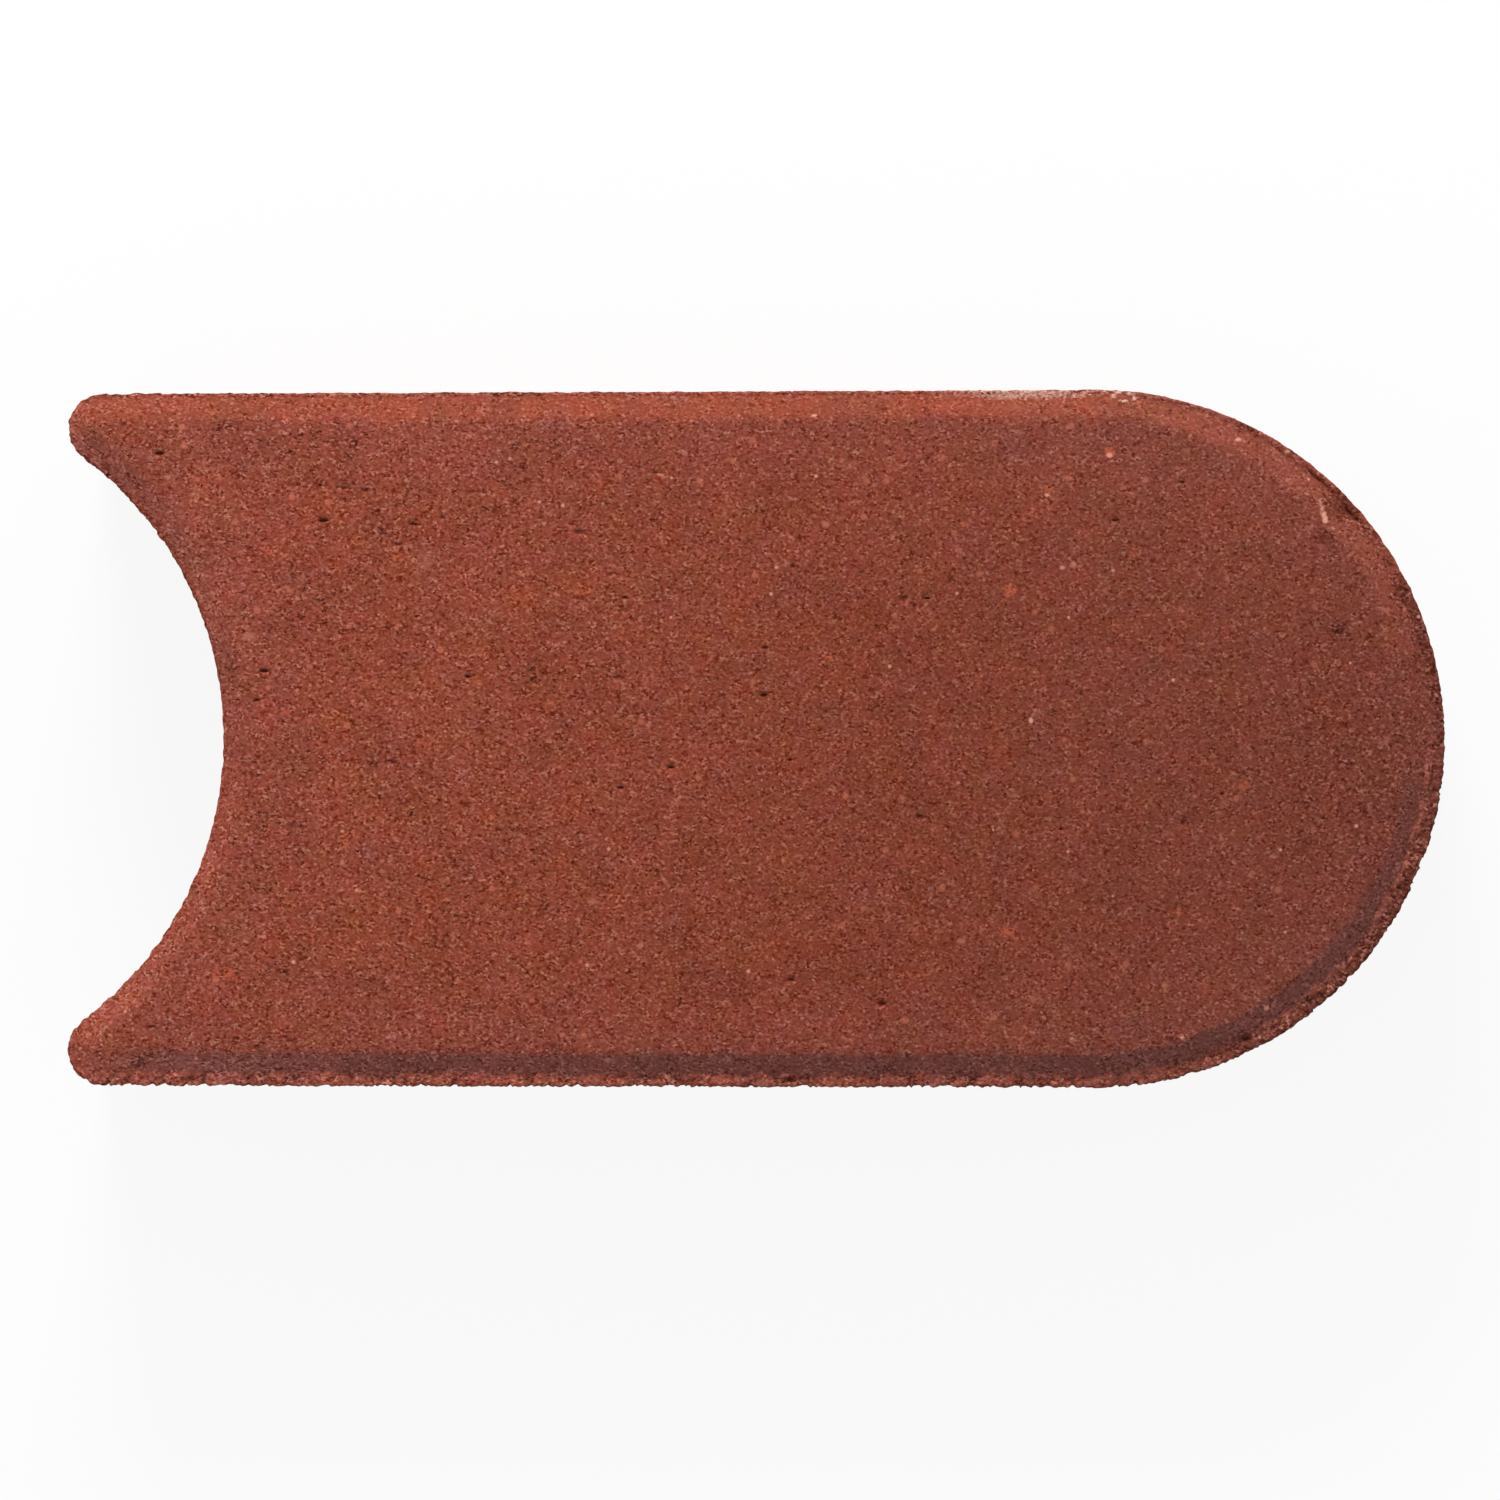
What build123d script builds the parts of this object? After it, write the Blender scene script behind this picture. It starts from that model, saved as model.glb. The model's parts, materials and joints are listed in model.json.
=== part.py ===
"""Lawn edging stone: one pressed concrete block with a round nose and a hollow that takes the next nose."""

import os
from math import atan2, degrees, radians, sqrt, tan

from build123d import *

# Driving dimensions, in millimetres and degrees
length = 238.0  # from the crown of the nose to the tips of the horns
width = 120.0  # across the two long sides, which is also the nose's diameter
thickness = 45.0  # from the bed face to the walking face
socket_clearance = 0.8  # radial room that the next stone's nose has in the hollow
rim_width = 1.2  # level rim that the press head leaves along the mould wall
bevel_width = 4.0  # pressed bevel between rim and walking face, seen from above
bevel_slope = 32.0  # angle of the bevel below the walking face
arris_radius = 2.0  # soft edge where the bevel meets the walking face
horn_face_radius = 0.4  # radius of the horn tips on the flat of the walking face

# Pressed edge
bevel_drop = bevel_width * tan(radians(bevel_slope))
wall_height = thickness - bevel_drop
arris_run = arris_radius * tan(radians(bevel_slope / 2))

# Plan outline: nose towards +X, hollow between two rounded horns towards -X
nose_radius = width / 2
nose_centre_x = length / 2 - nose_radius
socket_radius = nose_radius + socket_clearance
horn_radius = rim_width + bevel_width + arris_run + horn_face_radius
horn_centre_x = horn_radius - length / 2
horn_centre_y = width / 2 - horn_radius
socket_reach = sqrt((socket_radius + horn_radius) ** 2 - horn_centre_y**2)
socket_centre_x = horn_centre_x - socket_reach
socket_half_angle = degrees(atan2(horn_centre_y, socket_reach))

with BuildPart() as edging_stone:
    # Block up to the rim, with plumb walls all round
    with BuildSketch() as outline:
        with BuildLine():
            CenterArc((nose_centre_x, 0), nose_radius, -90, 180)
            CenterArc((socket_centre_x, 0), socket_radius, -socket_half_angle, 2 * socket_half_angle)
            horn = CenterArc((horn_centre_x, horn_centre_y), horn_radius, 90, 90 + socket_half_angle)
            side = Line((horn_centre_x, width / 2), (nose_centre_x, width / 2))
            mirror((horn, side), about=Plane.XZ)
        make_face()
    extrude(amount=wall_height)

    # Crown inside the rim, shaped by the press head: bevel all round and a soft arris
    with BuildSketch(Plane.XY.offset(wall_height)):
        offset(outline.sketch, amount=-rim_width)
    extrude(amount=bevel_drop, taper=90 - bevel_slope)
    walking_face = edging_stone.faces().sort_by(Axis.Z)[-1]
    fillet(walking_face.edges(), radius=arris_radius)

edging_stone.part.label = "edging_stone"
os.makedirs("parts", exist_ok=True)
export_step(edging_stone.part, "parts/edging_stone.step")
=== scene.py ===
"""Lawn edging stone of pressed red concrete, seen from above on a pale floor."""

import json
from math import atan2, cos, degrees, radians, sin, sqrt, tan

import bpy
import numpy as np
from mathutils import Matrix, Vector, geometry, noise


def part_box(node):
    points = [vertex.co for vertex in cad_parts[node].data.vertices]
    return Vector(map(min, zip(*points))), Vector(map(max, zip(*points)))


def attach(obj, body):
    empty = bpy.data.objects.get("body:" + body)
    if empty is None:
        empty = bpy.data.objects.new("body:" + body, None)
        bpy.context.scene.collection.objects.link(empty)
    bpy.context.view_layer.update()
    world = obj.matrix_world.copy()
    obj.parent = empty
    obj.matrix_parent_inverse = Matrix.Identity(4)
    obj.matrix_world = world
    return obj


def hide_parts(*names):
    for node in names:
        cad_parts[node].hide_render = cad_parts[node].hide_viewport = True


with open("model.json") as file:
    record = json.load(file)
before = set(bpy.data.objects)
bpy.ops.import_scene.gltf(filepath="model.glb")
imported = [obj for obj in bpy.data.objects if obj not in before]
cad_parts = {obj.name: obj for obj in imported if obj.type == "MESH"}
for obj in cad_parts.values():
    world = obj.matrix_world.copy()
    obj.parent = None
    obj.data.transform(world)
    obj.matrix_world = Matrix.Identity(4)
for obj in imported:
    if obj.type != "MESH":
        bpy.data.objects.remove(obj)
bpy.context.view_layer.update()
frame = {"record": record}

# The stone is laid out in millimetres and scaled to metres when its mesh is made
MM = 0.001
low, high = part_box("edging_stone")
mounts = {mount["name"]: mount for mount in frame["record"]["mounts"]}
length = (high.x - low.x) / MM
half_width = (high.y - low.y) / MM / 2
thickness = (high.z - low.z) / MM

# Plan outline: nose towards +X, hollow between two horns towards -X
nose_radius = half_width
nose_x = length / 2 - nose_radius
socket_radius = mounts["socket"]["dims"]["r_mm"]
horn_radius = 6.17
horn_x = horn_radius - length / 2
horn_y = half_width - horn_radius
socket_reach = sqrt((socket_radius + horn_radius) ** 2 - horn_y**2)
socket_x = horn_x - socket_reach
socket_half_angle = degrees(atan2(horn_y, socket_reach))

# Pressed edge: a rough rim along the mould wall, then the bevel, then the walking face
rim_width = 1.2
narrowest_rim = 0.25
bevel_width = 4.0
bevel_slope = radians(32)
bevel_drop = bevel_width * tan(bevel_slope)
arris_softness = 0.44
press_shift = np.array((-1.0, 0.4))  # the press head stood this far off the mould's centre
rim_height = thickness - bevel_drop

# Crumbs of concrete that crept up beside the press head: none where its gap to the mould wall is tight
tight_gap = 0.5
loose_gap = 1.7
crumb_count = 2200
crumb_zone = 4.0  # crumbs show within this distance of the mould wall
crumb_overhang = 0.2
notch_depth = 0.55

# Fineness of the mesh
column_pitch = 0.47
face_pitch = 1.0
bed_pitch = 2.6
rim_rings = 6
bevel_rings = 11
wall_rows = 24
edge_depth = 5.85
sharp_angle = radians(62)

# The floor ends a little way under the stone and reaches far round it
floor_tuck = 0.8
floor_reach = 3500

rng = np.random.default_rng(45)

# Finishes, in the order of the mesh's materials
PRESSED, RIM, WALL, BED = range(4)


def smooth_step(low_end, high_end, value):
    """0 below the low end, 1 above the high end, and an even S between them."""
    t = np.clip((value - low_end) / (high_end - low_end), 0, 1)
    return t * t * (3 - 2 * t)


def rough(points, grain, seed=0.0, octaves=3):
    """Rough numbers of about -1 to 1, one for each point, in lumps of the given grain in millimetres."""
    scaled = np.asarray(points, float) / grain + seed
    return np.array([noise.fractal(p, 0.9, 2.1, octaves) for p in scaled.tolist()])


def arc_run(centre, radius, start, end, facing=1):
    """Points and outward normals along an arc, in degrees, without its last point."""
    count = max(2, round(abs(radians(end - start)) * radius / column_pitch))
    angles = np.radians(np.linspace(start, end, count, endpoint=False))
    spokes = np.c_[np.cos(angles), np.sin(angles)]
    return np.array(centre) + radius * spokes, facing * spokes


def straight_run(start, end, normal):
    """Points and outward normals along a straight side, without its last point."""
    start, end = np.array(start), np.array(end)
    count = round(float(np.linalg.norm(end - start)) / column_pitch)
    steps = np.linspace(0, 1, count, endpoint=False)[:, None]
    return start + (end - start) * steps, np.tile(normal, (count, 1))


def outline_columns():
    """Points and outward normals round the plan outline, anticlockwise from the foot of the nose."""
    runs = [
        arc_run((nose_x, 0), nose_radius, -90, 90),
        straight_run((nose_x, half_width), (horn_x, half_width), (0, 1)),
        arc_run((horn_x, horn_y), horn_radius, 90, 180 + socket_half_angle),
        arc_run((socket_x, 0), socket_radius, socket_half_angle, -socket_half_angle, facing=-1),
        arc_run((horn_x, -horn_y), horn_radius, 180 - socket_half_angle, 270),
        straight_run((horn_x, -half_width), (nose_x, -half_width), (0, -1)),
    ]
    return np.vstack([run[0] for run in runs]), np.vstack([run[1] for run in runs])


def edge_distance(points):
    """How far each plan point lies inside the outline."""
    x, y = points[:, 0], np.abs(points[:, 1])
    inside = half_width - y
    inside = np.minimum(inside, np.hypot(x - socket_x, y) - socket_radius)
    nose = nose_radius - np.hypot(x - nose_x, y)
    inside = np.where(x > nose_x, np.minimum(inside, nose), inside)
    across, along = y - horn_y, horn_x - x
    turn = np.degrees(np.arctan2(-across, along)) + 180
    in_horn = (turn > 90) & (turn < 180 + socket_half_angle)
    return np.where(in_horn, np.minimum(inside, horn_radius - np.hypot(along, across)), inside)


def press_depth(points):
    """How far each plan point lies inside the foot of the bevel, which follows the press head."""
    return edge_distance(points - press_shift) - rim_width


def looseness(gap, y):
    """0 where the press head closed on the mould wall, 1 where its wide gap on the front holds crumbs."""
    return smooth_step(tight_gap, loose_gap, gap) * smooth_step(0.45 * half_width, -0.25 * half_width, y)


def press_profile(depth):
    """Height of the pressed top over the bevel's foot: a slope, a soft arris and the level face."""
    slope = depth * np.where(depth > 0, tan(bevel_slope), 1.0)
    gap = (bevel_drop - slope) / arris_softness
    return bevel_drop - arris_softness * np.logaddexp(0, 2 * gap) / 2


# Marks that stand out one by one on the top: place along X and Y, half length along each, and strength
slits = np.array([
    (-74.1, 37.7, 1.1, 0.40, 0.6),
    (-84.3, 11.7, 1.1, 0.38, 0.6),
    (-85.7, 6.7, 0.8, 0.35, 0.5),
    (-102.6, 49.4, 1.0, 0.40, 0.6),
    (-61.0, 33.5, 1.0, 0.35, 0.35),
    (-58.5, 37.0, 1.1, 0.30, 0.3),
    (-48.9, 10.7, 0.8, 0.40, 0.5),
    (-13.8, -5.0, 0.8, 0.35, 0.5),
    (-22.5, -8.5, 0.7, 0.35, 0.5),
    (2.2, 7.4, 0.8, 0.40, 0.5),
    (101.0, 18.0, 1.0, 0.60, 0.3),
    (-53.4, 38.2, 0.8, 0.50, 0.35),
    (-29.6, 35.5, 1.3, 0.50, 0.35),
    (29.1, -13.5, 0.7, 0.60, 0.4),
    (74.4, -14.5, 0.9, 0.70, 0.35),
    (26.2, 23.9, 1.3, 0.60, 0.3),
    (7.2, 29.6, 0.6, 0.50, 0.35),
    (-22.0, 22.0, 1.3, 0.50, 0.3),
    (-23.2, 10.4, 0.9, 0.50, 0.3),
    (-62.0, -4.1, 1.2, 0.50, 0.35),
    (-79.0, 43.9, 1.5, 0.35, 0.25),
    (-74.5, 43.7, 1.8, 0.30, 0.25),
    (-70.5, 43.3, 1.2, 0.35, 0.3),
    (-66.8, 42.9, 0.9, 0.40, 0.3),
    (-16.5, 45.8, 1.6, 0.35, 0.3),
])
rim_holes = np.array([
    (85.0, -51.6, 1.2, 0.7, 0.45),
    (95.9, -45.1, 0.8, 0.6, 0.45),
    (6.3, -58.8, 2.0, 0.7, 0.45),
    (-79.5, -58.8, 1.0, 0.6, 0.4),
    (-63.8, -58.8, 0.9, 0.6, 0.4),
    (73.0, -55.4, 0.8, 0.7, 0.35),
    (104.0, -37.5, 0.8, 0.6, 0.4),
    (111.3, -25.8, 1.1, 0.5, 0.45),
    (93.3, 49.1, 0.7, 0.5, 0.6),
    (-116.2, -46.0, 0.7, 0.5, 0.5),
])
pale_specks = np.array([
    (-44.0, 47.7, 0.45, 0.35, 0.8),
    (4.4, 29.4, 0.50, 0.40, 0.7),
    (10.9, 55.4, 0.80, 0.35, 1.0),
    (51.0, 41.7, 0.60, 0.40, 0.8),
    (53.6, 29.2, 0.70, 0.55, 0.6),
    (55.5, 29.7, 0.90, 0.80, 0.45),
    (62.3, 28.7, 0.50, 0.40, 0.6),
    (72.6, 9.9, 0.40, 0.40, 0.8),
    (79.0, 9.7, 0.60, 0.35, 0.5),
    (61.7, 48.5, 0.60, 0.50, 1.3),
    (83.8, 51.2, 0.80, 0.45, 0.8),
    (92.2, 49.2, 0.60, 0.45, 0.7),
    (99.9, 35.9, 0.45, 0.40, 0.7),
    (97.8, 40.5, 0.40, 0.90, 0.6),
    (98.1, 39.3, 0.45, 0.90, 0.7),
    (98.4, 38.2, 0.50, 0.90, 1.0),
    (98.6, 37.3, 0.55, 0.80, 1.2),
    (48.2, 3.0, 0.45, 0.60, 1.2),
    (35.7, -7.7, 0.50, 0.40, 0.5),
    (-70.7, -16.0, 0.50, 0.40, 0.6),
    (-68.2, -26.2, 0.50, 0.45, 0.7),
    (-79.2, -38.6, 0.45, 0.45, 1.0),
    (-0.4, -40.1, 0.50, 0.45, 0.8),
    (55.2, -51.6, 0.45, 0.40, 0.6),
    (74.1, -51.4, 0.55, 0.45, 0.8),
    (88.5, -46.3, 0.60, 0.50, 1.2),
    (91.7, -33.3, 0.45, 0.40, 0.6),
])
brick_grains = np.array([
    (-92.3, -40.3, 1.0, 0.7, 0.8),
    (-90.5, -40.6, 1.3, 1.0, 1.0),
    (-89.6, -41.5, 0.9, 0.6, 0.7),
    (-69.5, -17.6, 2.2, 2.0, 0.4),
    (-76.0, -34.4, 0.9, 0.9, 0.6),
    (-61.5, 31.6, 1.5, 0.8, 0.6),
    (-57.2, -0.8, 1.1, 0.9, 0.6),
    (-80.3, 4.6, 1.1, 0.8, 0.6),
    (-48.7, -1.4, 0.8, 1.1, 0.7),
    (13.5, 13.8, 1.0, 0.8, 0.5),
    (36.8, 36.8, 1.3, 0.6, 0.5),
    (39.3, 9.5, 0.9, 0.8, 0.5),
    (44.6, 25.2, 1.5, 1.2, 0.7),
    (51.2, 42.6, 1.2, 1.0, 0.6),
    (61.7, 48.9, 1.1, 1.1, 1.2),
    (66.0, 31.8, 1.0, 1.0, 0.5),
    (73.5, -29.9, 0.7, 0.7, 0.7),
    (44.0, -33.2, 1.7, 1.1, 0.7),
    (85.0, -8.2, 1.7, 1.3, 0.5),
])
pebbles = np.array([
    (-87.0, 17.7, 1.6, 0.9, 1.0),
    (-87.3, 29.3, 0.8, 0.7, 0.6),
    (-56.3, 30.5, 1.9, 3.0, 0.5),
    (-66.5, 5.8, 0.7, 0.6, 0.6),
    (12.9, 36.8, 0.9, 0.8, 1.0),
    (36.2, -34.9, 1.0, 0.8, 0.8),
    (-27.3, -28.2, 1.1, 0.7, 0.8),
    (98.0, 32.7, 1.0, 0.7, 0.5),
])
chalk_smears = np.array([
    (48.0, 59.5, 19.0, 1.6, 0.42),
    (44.0, 59.0, 3.5, 1.2, 0.45),
    (62.4, 58.9, 0.7, 0.6, 0.7),
    (63.4, 59.5, 1.0, 0.5, 0.7),
    (65.0, 59.2, 0.8, 0.5, 0.6),
    (66.0, 58.6, 0.6, 0.7, 0.7),
    (64.3, 57.9, 1.0, 0.4, 0.7),
])
# Dark patches: partly painted shade, round holes in the rim, beside a pebble and over the nose, and partly
# stains on the face
dark_stains_and_shade = np.array([
    (86.0, 53.5, 3.0, 1.3, 0.9),
    (102.0, 40.0, 5.0, 3.4, 0.8),
    (98.6, 34.3, 2.4, 1.6, 0.6),
    (99.6, 32.4, 1.0, 0.8, 0.6),
    (100.9, 18.2, 2.4, 1.4, 0.75),
    (106.0, -6.0, 22.0, 34.0, 0.22),
    (-106.6, -56.3, 1.8, 1.2, 0.8),
    (84.8, -51.4, 2.6, 1.3, 0.7),
    (95.6, -45.2, 1.7, 1.2, 0.7),
    (111.5, 25.5, 2.0, 3.8, 0.55),
    (116.3, 10.0, 1.0, 2.0, 0.5),
    (115.6, -14.0, 1.2, 1.6, 0.6),
    (112.2, -25.6, 1.6, 1.4, 0.5),
    (44.3, 40.1, 1.2, 1.1, 0.3),
    (-50.7, -40.5, 1.2, 1.0, 0.35),
    (-35.5, -29.5, 1.8, 1.6, 0.25),
    (-34.2, -53.0, 1.5, 1.0, 0.6),
])
strewn_slit_count = 14


def strewn_slits(count):
    """Small slits strewn over the walking face, in the same form as the marks above."""
    x = rng.uniform(-length / 2, length / 2, count)
    y = rng.uniform(-half_width, half_width, count)
    along = rng.uniform(0.45, 0.85, count)
    across = along * rng.uniform(0.4, 0.6, count)
    strength = rng.uniform(0.3, 0.5, count)
    found = np.c_[x, y, along, across, strength]
    return found[edge_distance(found[:, :2]) > edge_depth + 2]


slits = np.vstack([slits, strewn_slits(strewn_slit_count)])


def closeness(points, marks):
    """For each plan point, the strongest of the marks over it: full strength in the middle, 0 at the brim."""
    strongest = np.zeros(len(points))
    for x, y, half_x, half_y, strength in marks:
        away = np.hypot((points[:, 0] - x) / half_x, (points[:, 1] - y) / half_y)
        strongest = np.maximum(strongest, strength * np.clip(1 - away**2, 0, 1))
    return strongest


def mark_points(marks):
    """Plan points in three rings round the middle of each mark, so that the mesh can follow it."""
    points = []
    for x, y, half_x, half_y, _ in marks:
        for reach, count in ((1.1, 14), (0.75, 11), (0.4, 6), (0.0, 1)):
            angles = np.radians(np.arange(count) * 360 / count)
            points.append(np.c_[x + reach * half_x * np.cos(angles), y + reach * half_y * np.sin(angles)])
    return np.vstack(points)


def squeezed_crumbs(count):
    """Crumbs of concrete that crept up beside the press head: plan place, radius and tone."""
    rim = np.clip(rim_width - normals @ press_shift, 0.02, None)
    column = rng.choice(len(outline), count, p=rim / rim.sum())
    radius = 0.3 + 0.8 * rng.random(count) ** 2
    inwards = np.clip(rng.uniform(-0.8, 1.0, count), 0, 1) * np.clip(rim[column] + 1.5 - radius, 0, None)
    inset = radius - rng.uniform(-0.05, 0.2, count) + inwards
    tone = rng.uniform(-0.18, 0.18, count)
    return np.c_[outline[column] - normals[column] * inset[:, None], radius, tone]


outline, normals = outline_columns()
crumbs = squeezed_crumbs(crumb_count)
rim_gap = np.clip(rim_width - normals @ press_shift, narrowest_rim, None)


def crumb_dome(points):
    """Height of the crumbs' round backs at each plan point, and the tone of the highest crumb there."""
    dome, tone = np.zeros(len(points)), np.zeros(len(points))
    near_rim = np.flatnonzero(edge_distance(points) < crumb_zone)
    for x, y, radius, crumb_tone in crumbs:
        away = np.hypot(points[near_rim, 0] - x, points[near_rim, 1] - y) / radius
        back = radius * np.sqrt(np.clip(1 - away**2, 0, 1))
        higher = back > dome[near_rim]
        dome[near_rim[higher]] = back[higher]
        tone[near_rim[higher]] = crumb_tone
    return dome, tone


def crumb_reach():
    """How far the crumbs stand out past the outline at each of its columns."""
    reach = np.full(len(outline), -notch_depth)
    tangents = np.c_[-normals[:, 1], normals[:, 0]]
    for x, y, radius, _ in crumbs:
        away = np.array((x, y)) - outline
        aside = np.einsum("ij,ij->i", away, tangents)
        out = np.einsum("ij,ij->i", away, normals) + np.sqrt(np.clip(radius**2 - aside**2, 0, None))
        here = (np.abs(aside) < radius) & (np.hypot(away[:, 0], away[:, 1]) < crumb_zone)
        reach = np.where(here, np.maximum(reach, out), reach)
    return np.minimum(reach, crumb_overhang)


def nose_cracks(points):
    """Broken cracks between rim and bevel on the upper half of the nose: 1 in the middle of each."""
    flat = np.c_[points, np.zeros(len(points))]
    wander = 0.8 * rough(flat, 4.0, 4.4)
    off_line = np.abs(press_depth(points) + 0.3 + wander)
    turn = np.degrees(np.arctan2(points[:, 1], points[:, 0] - nose_x))
    stretch = smooth_step(5, 15, turn) * smooth_step(62, 50, turn)
    broken = smooth_step(-0.1, 0.15, rough(flat, 5.0, 8.8))
    return np.clip(1 - off_line / 0.5, 0, 1) * stretch * broken


def top_layers(points):
    """Heights at each plan point of the crumbly rim and of the pressed bevel and face, holes included."""
    inside = edge_distance(points)
    depth = press_depth(points)
    loose = looseness(inside - depth, points[:, 1])
    flat = np.c_[points, np.zeros(len(points))]
    grain = rough(flat, 1.1, 3.1)
    worn = 0.35 * (1 - smooth_step(0, 0.5, inside))
    tight_rim = 0.05 * grain - worn
    loose_rim = 0.5 * crumb_dome(points)[0] - 0.09 + 0.16 * grain
    rim = rim_height + tight_rim + (loose_rim - tight_rim) * loose
    crowded = 0.6 * loose * np.clip(1 - depth / bevel_width, 0, 1.3)
    wavy = depth - crowded + 0.25 * rough(flat, 5.0, 7.7)
    uneven = 0.025 * rough(flat, 2.0, 5.7) + 0.05 * rough(flat, 24, 1.3)
    pressed = rim_height + press_profile(wavy) + uneven
    holes = np.maximum(closeness(points, rim_holes), 0.5 * nose_cracks(points))
    return rim - holes, pressed - np.maximum(holes, closeness(points, slits))


def top_height(points):
    """Height of the top at each plan point, which is never above the thickness of the stone."""
    return np.minimum(np.maximum(*top_layers(points)), thickness)


def filled_face(boundary, pitch, margin, marks=()):
    """Plan points inside a ring of boundary points, and the triangles between them."""
    rows = np.arange(-half_width, half_width, pitch * sqrt(3) / 2)
    grid = []
    for number, y in enumerate(rows):
        start = -length / 2 + pitch * (number % 2) / 2
        x = np.arange(start, length / 2, pitch)
        grid.append(np.c_[x, np.full(len(x), y)])
    grid = np.vstack(grid)
    jitter = 0.16
    grid = grid + rng.uniform(-jitter, jitter, grid.shape) * pitch
    if len(marks):
        clearing = 1.35
        cleared = marks * (1, 1, clearing, clearing, 1)
        grid = np.vstack([grid[closeness(grid, cleared) == 0], mark_points(marks)])
    grid = grid[edge_distance(grid) > margin]
    plan = [Vector(p) for p in np.vstack([boundary, grid]).tolist()]
    ring = list(range(len(boundary)))
    found = geometry.delaunay_2d_cdt(plan, [], [ring], 1, 1e-6)
    kept = [sources[0] for sources in found[3]]
    return grid, [[kept[corner] for corner in face] for face in found[2]]


def strip(first, second, count):
    """Quads between two rings of vertices, given the number of each ring's first vertex."""
    for i in range(count):
        j = (i + 1) % count
        yield (first + i, first + j, second + j, second + i)


class StoneMesh:
    """Vertices in millimetres, faces and each face's finish, gathered stretch by stretch."""

    def __init__(self):
        self.blocks = []
        self.faces = []
        self.finish = []

    def add_points(self, points):
        """Take in a block of vertices, and say which number its first one has."""
        first = sum(len(block) for block in self.blocks)
        self.blocks.append(points)
        return first

    def add_faces(self, faces, finish):
        faces = list(faces)
        self.faces += faces
        self.finish += [finish] * len(faces)


def side_lumps(z, scallop):
    """How far the wall stands out or in at a height: crumbly near a loose rim, dragged below."""
    points = np.c_[outline, np.broadcast_to(z, len(outline))]
    crumbly = looseness(rim_gap, outline[:, 1]) * smooth_step(rim_height - 6, rim_height - 0.5, z)
    at_hollow = smooth_step(30 - length / 2, 12 - length / 2, outline[:, 0])
    under_rim = smooth_step(rim_height - 3, rim_height, z)
    bumps = 0.24 + under_rim * (0.2 * at_hollow - 0.08)
    dragged = bumps * rough(points, 1.2, 2.2) - 0.10
    dragged = dragged + 0.09 * rough(points * (1, 1, 0.1), 2.4, 6.5)
    return dragged + (scallop - dragged) * crumbly


def add_rim_and_bevel(shell, scallop):
    """Rings from the mould wall inwards. Gives back the plan of the last ring and its first number."""
    count = len(outline)
    across_rim = rim_gap[:, None]
    depths = np.hstack([
        across_rim * np.linspace(0, 1, rim_rings + 1),
        across_rim + (edge_depth - across_rim) * np.linspace(0, 1, bevel_rings + 1)[1:],
    ])
    lumps = side_lumps(rim_height, scallop)
    for ring, depth in enumerate(depths.T):
        outward = lumps * (1 - smooth_step(0, 1.2, depth)) - depth
        plan = outline + normals * outward[:, None]
        first = shell.add_points(np.c_[plan, top_height(plan)])
        if ring:
            shell.add_faces(strip(first - count, first, count), RIM if ring <= rim_rings else PRESSED)
    return plan, first


def add_walking_face(shell, brink, first):
    """The face inside the bevel, with finer triangles at its marks."""
    marks = np.vstack([slits, pale_specks, brick_grains, pebbles])
    grid, triangles = filled_face(brink, face_pitch, edge_depth + 0.45 * face_pitch, marks)
    shell.add_points(np.c_[grid, top_height(grid)])
    shell.add_faces([[first + corner for corner in face] for face in triangles], PRESSED)


def add_walls(shell, scallop):
    """Plumb walls, in closer rows under the rim. Gives back the plan of the foot and its first number."""
    brim = shell.blocks[0][:, 2]
    above = 0
    for row in range(1, wall_rows + 1):
        share = 1 - (row / wall_rows) ** 1.35
        z = brim * share
        tuck = -0.35 * (1 - smooth_step(0, 0.04, share))
        plan = outline + normals * (side_lumps(z, scallop) + tuck)[:, None]
        below = shell.add_points(np.c_[plan, z])
        shell.add_faces(strip(below, above, len(outline)), WALL)
        above = below
    return plan, above


def add_underside(shell, foot, first):
    """The rough bed face, whose hollows rise a little from the ground."""
    grid, triangles = filled_face(foot, bed_pitch, 1.0)
    flat = np.c_[grid, np.zeros(len(grid))]
    shell.add_points(np.c_[grid, np.clip(0.16 * rough(flat, 3.4, 9.9), 0, None)])
    shell.add_faces([[first + corner for corner in reversed(face)] for face in triangles], BED)


def stone_shape():
    """Vertices, faces and each face's finish for the whole stone, in millimetres."""
    shell = StoneMesh()
    scallop = crumb_reach()
    brink, first = add_rim_and_bevel(shell, scallop)
    add_walking_face(shell, brink, first)
    foot, first = add_walls(shell, scallop)
    add_underside(shell, foot, first)
    return np.vstack(shell.blocks), shell.faces, shell.finish


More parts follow.
